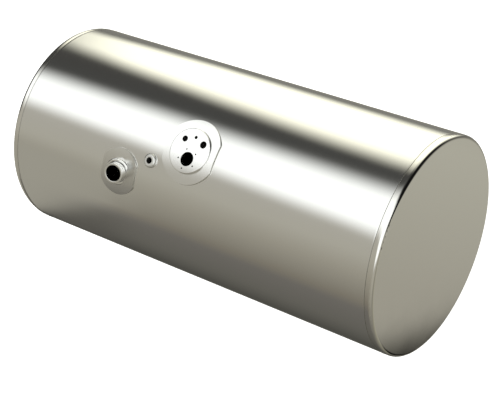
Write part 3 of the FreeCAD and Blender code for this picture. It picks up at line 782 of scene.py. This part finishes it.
dull_weld, tree, shader, place = start_metal("dull_weld", "9c9a94")
smut = add(tree, "ShaderNodeTexNoise", Vector=place, Scale=1 / SMUT_SIZE, Detail=3.0)
roughen(tree, shader, smut.outputs[0], 0.34, 0.52)
print(dull_weld.name, "for the beads")

# %% A row of drops
BEAD_ARCH = 5
BEAD_FOOT = 0.2 * MM
DROP_STEPS = 4
DROP_VALLEY = 0.7
DROP_RISE = 0.3
DROP_HEIGHTS = (0.85, 1.0)
drops = random.Random(11)


def bead_row(place_at, sideways, length, sizes):
    """Outlines of a bead; place_at gives the middle and the outward direction at a part of the way."""
    width, height, drop_length = sizes
    foot = sideways * (width / 2)
    count = round(length / drop_length)
    outlines = []
    for number in range(count):
        tall = height * drops.uniform(*DROP_HEIGHTS)
        for step in range(DROP_STEPS):
            middle, out = place_at((number + step / DROP_STEPS) / count)
            crest = tall * (DROP_VALLEY + DROP_RISE * math.sin(math.pi * (step + 0.5) / DROP_STEPS))
            outline = []
            for corner in range(BEAD_ARCH):
                arch = math.pi * corner / (BEAD_ARCH - 1)
                beside = sideways * (width / 2 * math.cos(arch))
                outline.append(middle + beside + out * (crest * math.sin(arch)))
            outline.append(middle - foot - out * BEAD_FOOT)
            outline.append(middle + foot - out * BEAD_FOOT)
            outlines.append(outline)
    return outlines


# %% Beads round the ends
END_SEAM = 21.0 * MM
END_BEAD = (1.5 * MM, 0.30 * MM, 3.0 * MM)
half_length = cad_high.x


def seam_round(x):
    """Place on a seam that runs round the tank at one distance from mid-length."""
    def place_at(part):
        out = on_wall(0, math.tau * part, 0).normalized()
        return Vector((x, 0, 0)) + out * SHELL_RADIUS, out
    return place_at


for name, x in (("left_end_bead", END_SEAM - half_length), ("right_end_bead", half_length - END_SEAM)):
    ring_row = bead_row(seam_round(x), Vector((1, 0, 0)), math.tau * SHELL_RADIUS, END_BEAD)
    make_piece(name, *joined(ring_row, True), dull_weld, "wall")

# %% Bead along the wall
LONG_BEAD = (6.0 * MM, 1.0 * MM, 5.0 * MM)
SEAM_MARGIN = 2 * MM
INBOARD = math.radians(-90)
seam_reach = half_length - END_SEAM - SEAM_MARGIN


def long_seam(part):
    """Middle of the lengthwise bead and its outward direction."""
    middle = on_wall(seam_reach * (2 * part - 1), INBOARD, 0)
    return middle, Vector((0, middle.y, middle.z)).normalized()


long_row = bead_row(long_seam, Vector((0, 0, 1)), 2 * seam_reach, LONG_BEAD)
make_piece("long_seam_bead", *joined(long_row, False), dull_weld, "wall")

# %% [markdown]
# ### Cut edges of the plates
#
# The plates were cut out before they were bent, and nobody polished their edges. A thin dull skin on
# each edge draws the fine grey line that tells the eye where a plate ends on a wall just as bright. Its
# grey is partly the dull cut edge and partly a painted shade for the shadow at the plate's foot.
# A plate is a circle with two flats, so its edge is whichever of the two is nearer at each bearing.

# %% Sawn edge, partly painted shade
SAW_MARK = 1.0 * MM

# This grey is partly the dull cut and partly a painted shade for the shadow where the plate meets the
# wall.
edge_skin_and_shade, tree, shader, place = start_metal("sawn_edge_and_painted_shade", "dad8d2")
saw_marks = add(tree, "ShaderNodeTexNoise", Vector=place, Scale=1 / SAW_MARK, Detail=2.0)
roughen(tree, shader, saw_marks.outputs[0], 0.32, 0.46)
print(edge_skin_and_shade.name, "for the plates' edges")

# %% Dull edges
SKIN = 0.2 * MM
SKIN_FOOT = 0.3 * MM
SKIN_TOP = 2.8 * MM
SKIN_CORNERS = ((0, SKIN_FOOT), (SKIN, SKIN_FOOT), (SKIN, SKIN_TOP), (0, SKIN_TOP))
EDGE_STEPS = 240
LEAST_COSINE = 0.01


def plate_edge(name, x, angle, radius, flat, turn):
    """Skin on the edge of a round plate with two flats, which lies bent on the wall."""
    side = Vector((1, 0, 0))
    up = on_wall(0, angle, 0).normalized()
    across = up.cross(side)
    outlines = []
    for step in range(EDGE_STEPS):
        bearing = math.tau * step / EDGE_STEPS
        reach = min(radius, flat / max(abs(math.cos(bearing)), LEAST_COSINE))
        outline = []
        for proud, height in SKIN_CORNERS:
            u = (reach + proud) * math.cos(bearing + turn)
            v = (reach + proud) * math.sin(bearing + turn)
            rise = math.sqrt((SHELL_RADIUS + height) ** 2 - v ** 2)
            outline.append(Vector((x, 0, 0)) + side * u + across * v + up * rise)
        outlines.append(outline)
    make_piece(name, *joined(outlines, True), edge_skin_and_shade, "plate")


plate_edge("sender_plate_edge", x=5.0 * MM, angle=0.0, radius=86.4 * MM, flat=77.5 * MM, turn=0.0)
plate_edge("filler_plate_edge", x=-202.0 * MM, angle=FILLER_ANGLE, radius=63.5 * MM, flat=55.5 * MM,
           turn=math.radians(-3))

# %% [markdown]
# ### Threads
#
# The imported record says where each port is, which way it points and how wide its bore is. A ridge with
# a sharp crest winds up every bore. Its pitch follows the bore, as in the usual tables of threads. The
# threads are painted nearly black, a painted shade for the inside of deep holes, so the ports look black.

# %% Threads painted dark with shade
THREAD_MOTTLE_SIZE = 2 * MM

# The threads' near-black colour is a painted shade for the deep ports, and the noise only varies
# roughness.
thread_shade_metal, tree, shader, place = start_metal("painted_shade_thread", "2e2e2c")
thread_mottle = add(tree, "ShaderNodeTexNoise", Vector=place, Scale=1 / THREAD_MOTTLE_SIZE, Detail=2.0)
roughen(tree, shader, thread_mottle.outputs[0], 0.42, 0.60)
print(thread_shade_metal.name, "for the threads")

# %% A ridge that winds up a bore
THREAD_STEPS = 32
CREST = 0.28
RIDGE_HALF = 0.35
RIDGE_ROOT = 0.05 * MM
FADE_START = 2


def thread(name, middle, axis, radius, length, pitch, record_slot):
    """Ridge that winds along a bore and fades out at both ends."""
    axis = Vector(axis).normalized()
    side = axis.orthogonal().normalized()
    across = axis.cross(side)
    turns = (length - 2 * pitch) / pitch
    count = round(turns * THREAD_STEPS)
    outlines = []
    for step in range(count + 1):
        bearing = math.tau * step / THREAD_STEPS
        out = side * math.cos(bearing) + across * math.sin(bearing)
        base = Vector(middle) + axis * (pitch * step / THREAD_STEPS - turns * pitch / 2)
        fade = min(1.0, (step + FADE_START) / THREAD_STEPS, (count - step + FADE_START) / THREAD_STEPS)
        half = axis * (RIDGE_HALF * pitch * fade)
        root = base + out * (radius + RIDGE_ROOT)
        outlines.append([root - half, base + out * (radius - CREST * pitch * fade), root + half])
    make_piece(name, *joined(outlines, False), thread_shade_metal, record_slot)


# %% Threads of the sender's screws
SCREW_PITCH = 0.8 * MM
SCREW_TURN = math.radians(43.4)
SCREW_DEPTH = 16.0 * MM
screws = mounts["sender_bolts"]
half_depth = Vector((0, 0, SCREW_DEPTH / 2))

for number in range(screws["dims"]["count"]):
    bearing = SCREW_TURN + math.tau * number / screws["dims"]["count"]
    arm = Vector((math.cos(bearing), math.sin(bearing), 0)) * (screws["dims"]["pcd_mm"] / 2 * MM)
    thread("screw_thread_" + str(number + 1), Vector(screws["pos_m"]) + arm - half_depth, (0, 0, 1),
           screws["dims"]["hole_r_mm"] * MM, SCREW_DEPTH, SCREW_PITCH, "flange")

# %% Threads of the ports
PORT_THREADS = {"supply_port": (1.8 * MM, "flange"), "return_port": (1.4 * MM, "flange"),
                "gauge_port": (1.0 * MM, "flange"), "vent_port": (1.4 * MM, "spud")}

for name, (pitch, record_slot) in PORT_THREADS.items():
    port = mounts[name]
    thread(name + "_thread", port["pos_m"], port["axis"], port["dims"]["r_mm"] * MM,
           port["dims"]["length_mm"] * MM, pitch, record_slot)
